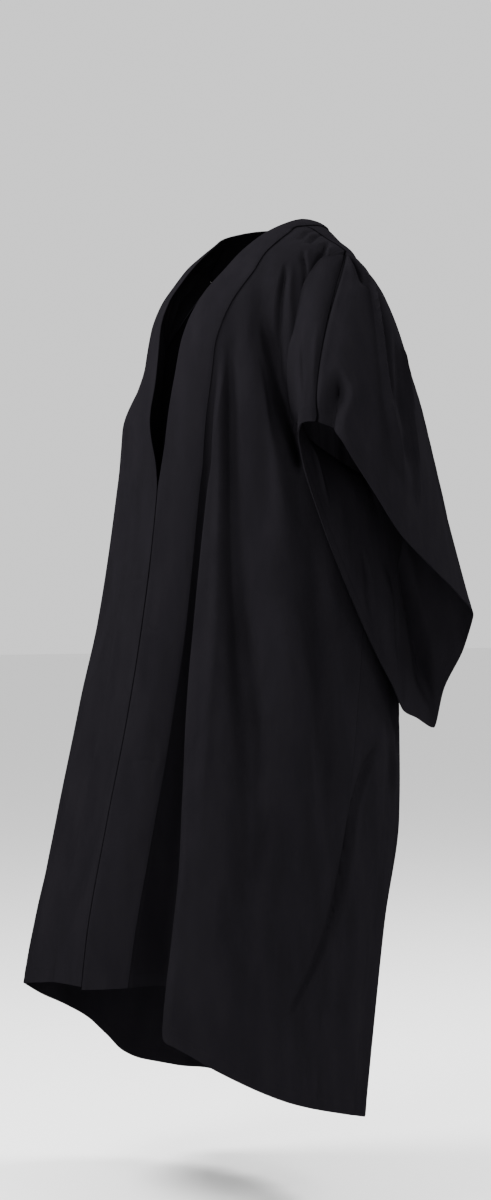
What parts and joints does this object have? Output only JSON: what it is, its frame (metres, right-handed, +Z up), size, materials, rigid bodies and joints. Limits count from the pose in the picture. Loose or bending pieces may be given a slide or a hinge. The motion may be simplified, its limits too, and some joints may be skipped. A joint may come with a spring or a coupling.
{
  "type": "graduation gown",
  "caption": "Full-length graduation gown in the worn pose, hollow: wide flat front bands, yoke, gathered back, open pointed bell sleeves and an open neck.",
  "frame": {"origin": "middle of the neck at shoulder height, where the wearer's shoulders carry the gown", "axes": "+Z up, the gown faces -Y, its left side is +X"},
  "size_m": [0.658, 0.5401, 1.3493],
  "materials": {
    "band_left": "matte black woven cloth, slight satin",
    "band_right": "matte black woven cloth, slight satin",
    "yoke": "matte black woven cloth, slight satin",
    "front_left": "matte black woven cloth, slight satin",
    "front_right": "matte black woven cloth, slight satin",
    "back": "matte black woven cloth, slight satin",
    "sleeve_left": "matte black woven cloth, slight satin",
    "sleeve_right": "matte black woven cloth, slight satin"
  },
  "bodies": {
    "root": {"band_left": "band_left", "band_right": "band_right", "yoke": "yoke", "front_left": "front_left", "front_right": "front_right", "back": "back", "sleeve_left": "sleeve_left", "sleeve_right": "sleeve_right"}
  },
  "joints": []
}
